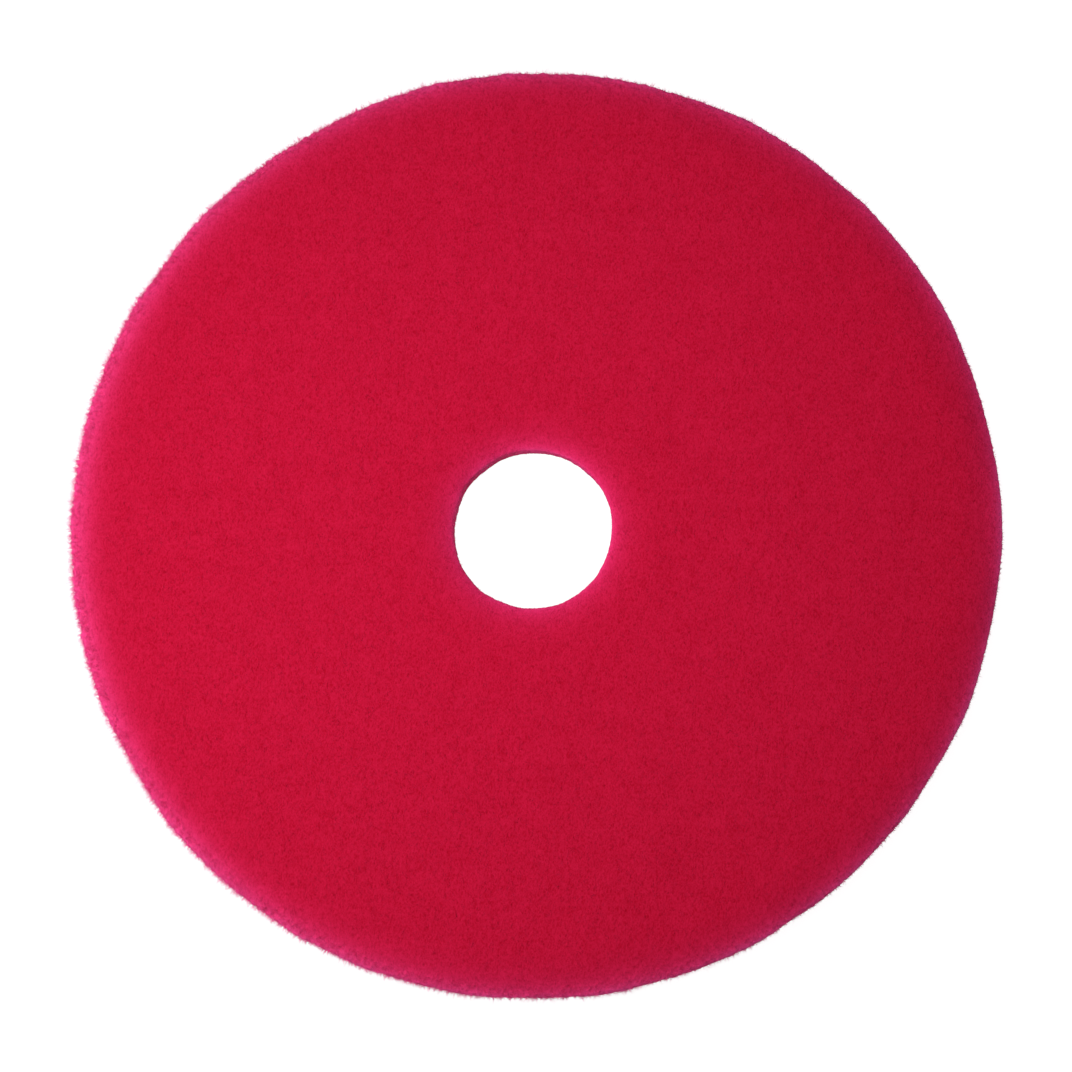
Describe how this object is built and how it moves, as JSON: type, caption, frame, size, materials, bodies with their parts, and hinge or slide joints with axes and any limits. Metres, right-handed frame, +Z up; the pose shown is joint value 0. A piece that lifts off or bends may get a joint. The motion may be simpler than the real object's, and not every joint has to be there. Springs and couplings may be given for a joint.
{
  "type": "floor pad",
  "caption": "Round red nonwoven floor pad with a centre hole, held by the pad driver of a rotary floor machine to buff and spray-clean hard floors.",
  "frame": {"origin": "centre of the pad's lower face, on the floor the pad lies on", "axes": "+Z up through the centre hole, square to both working faces; X and Y lie in the face, with no preferred direction"},
  "size_m": [0.508, 0.508, 0.025],
  "materials": {
    "face_web": "resin-bonded nonwoven fibre, dense and matt, deep crimson",
    "core_web": "lofty nonwoven fibre with little resin, fuzzy, pinker than the faces"
  },
  "bodies": {
    "root": {"upper_face_web": "face_web", "core_web": "core_web", "lower_face_web": "face_web"}
  },
  "joints": []
}
